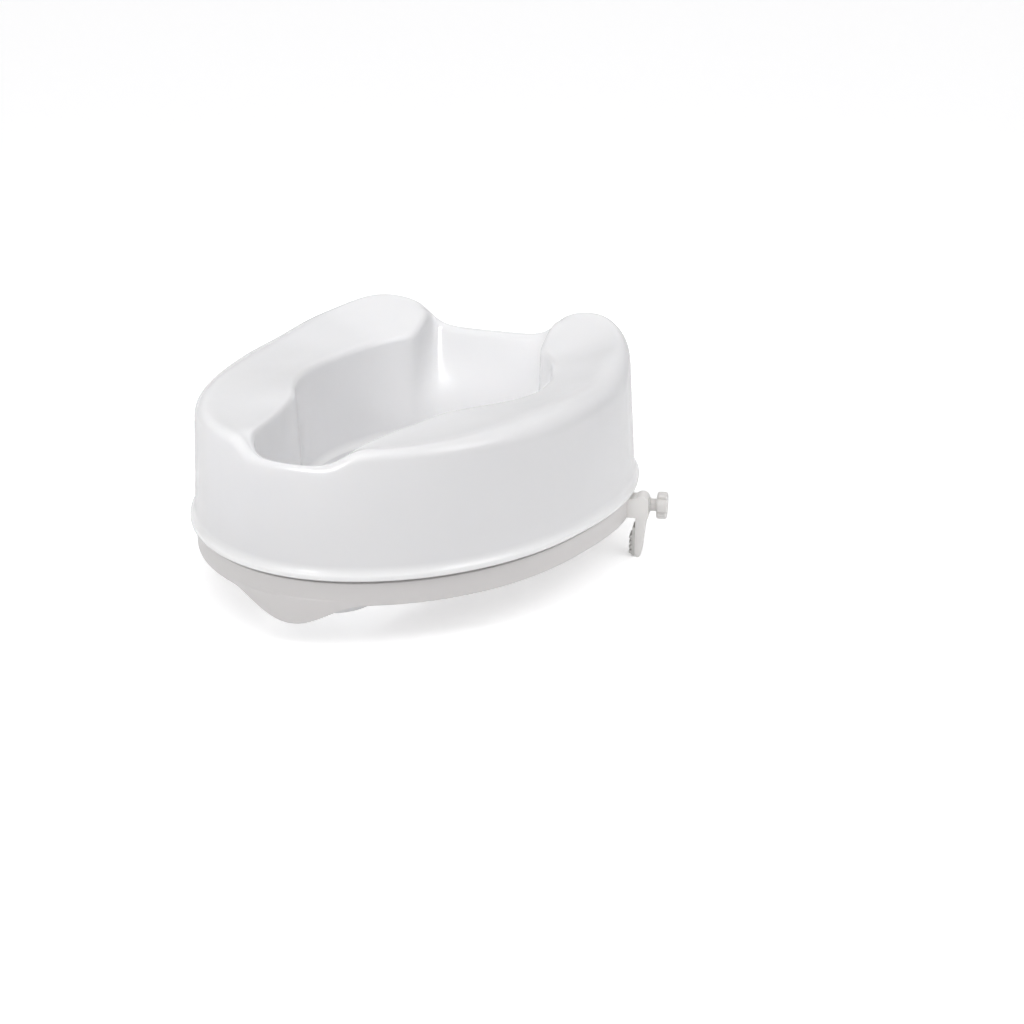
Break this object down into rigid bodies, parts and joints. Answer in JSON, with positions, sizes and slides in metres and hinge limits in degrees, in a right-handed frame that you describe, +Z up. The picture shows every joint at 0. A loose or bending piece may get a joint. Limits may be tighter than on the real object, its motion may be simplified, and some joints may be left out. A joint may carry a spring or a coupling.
{
  "type": "raised toilet seat",
  "caption": "Raised toilet seat: tall hollow moulded ring with front and rear recess and raised rear horns, on a base band with front apron and screw-driven side clamps for the bowl rim.",
  "frame": {"origin": "under the middle of the seat seen from above, level with the feet of the clamp legs, which are the lowest points; the bowl rim's plane is 36 mm above it", "axes": "+Z up, -Y towards the front of the seat, +X to the right of someone looking from the front towards the back"},
  "size_m": [0.4282, 0.41, 0.1868],
  "materials": {
    "seat_plastic": "glossy white moulded polyethylene",
    "base_plastic": "satin-gloss white moulded polyethylene",
    "clamp_plastic": "slightly warm white moulded nylon",
    "knob_plastic": "warm white moulded nylon, satin",
    "screw_plastic": "white acetal, satin",
    "grip_rubber": "soft white elastomer",
    "pad_rubber": "grey anti-slip elastomer",
    "fastener_steel": "stainless steel"
  },
  "bodies": {
    "base": {"seat_shell": "seat_plastic", "base_ring": "base_plastic", "captive_nut_right": "screw_plastic", "slide_cover_right": "clamp_plastic", "captive_nut_left": "screw_plastic", "slide_cover_left": "clamp_plastic", "slide_cover_screws": "fastener_steel", "assembly_screws": "fastener_steel", "rest_pad_front_left": "pad_rubber", "rest_pad_front_right": "pad_rubber", "rest_pad_rear_left": "pad_rubber", "rest_pad_rear_right": "pad_rubber"},
    "bracket_right": {"clamp_bracket_right": "clamp_plastic", "grip_pad_right": "grip_rubber"},
    "screw_right": {"clamp_screw_right": "screw_plastic", "clamp_knob_right": "knob_plastic", "clamp_washer_right": "screw_plastic", "screw_clip_right": "fastener_steel", "knob_pin_right": "fastener_steel"},
    "bracket_left": {"clamp_bracket_left": "clamp_plastic", "grip_pad_left": "grip_rubber"},
    "screw_left": {"clamp_screw_left": "screw_plastic", "clamp_knob_left": "knob_plastic", "clamp_washer_left": "screw_plastic", "screw_clip_left": "fastener_steel", "knob_pin_left": "fastener_steel"}
  },
  "joints": [
    {"name": "clamp_slide_right", "type": "slide", "parent": "base", "child": "bracket_right", "axis": [0.9781, 0.2079, 0], "range_m": [-0.008, 0.02]},
    {"name": "knob_turn_right", "type": "hinge", "parent": "bracket_right", "child": "screw_right", "pos_m": [0.1845, 0.0764, 0.047], "axis": [0.9781, 0.2079, 0], "range_deg": [-721, 1801]},
    {"name": "clamp_slide_left", "type": "slide", "parent": "base", "child": "bracket_left", "axis": [-0.9781, 0.2079, 0], "range_m": [-0.008, 0.02]},
    {"name": "knob_turn_left", "type": "hinge", "parent": "bracket_left", "child": "screw_left", "pos_m": [-0.1845, 0.0764, 0.047], "axis": [-0.9781, 0.2079, 0], "range_deg": [-721, 1801]}
  ],
  "couplings": [
    {"joint": "knob_turn_right", "follows": "clamp_slide_right", "rad_per_m": 1570.8},
    {"joint": "knob_turn_left", "follows": "clamp_slide_left", "rad_per_m": 1570.8}
  ]
}
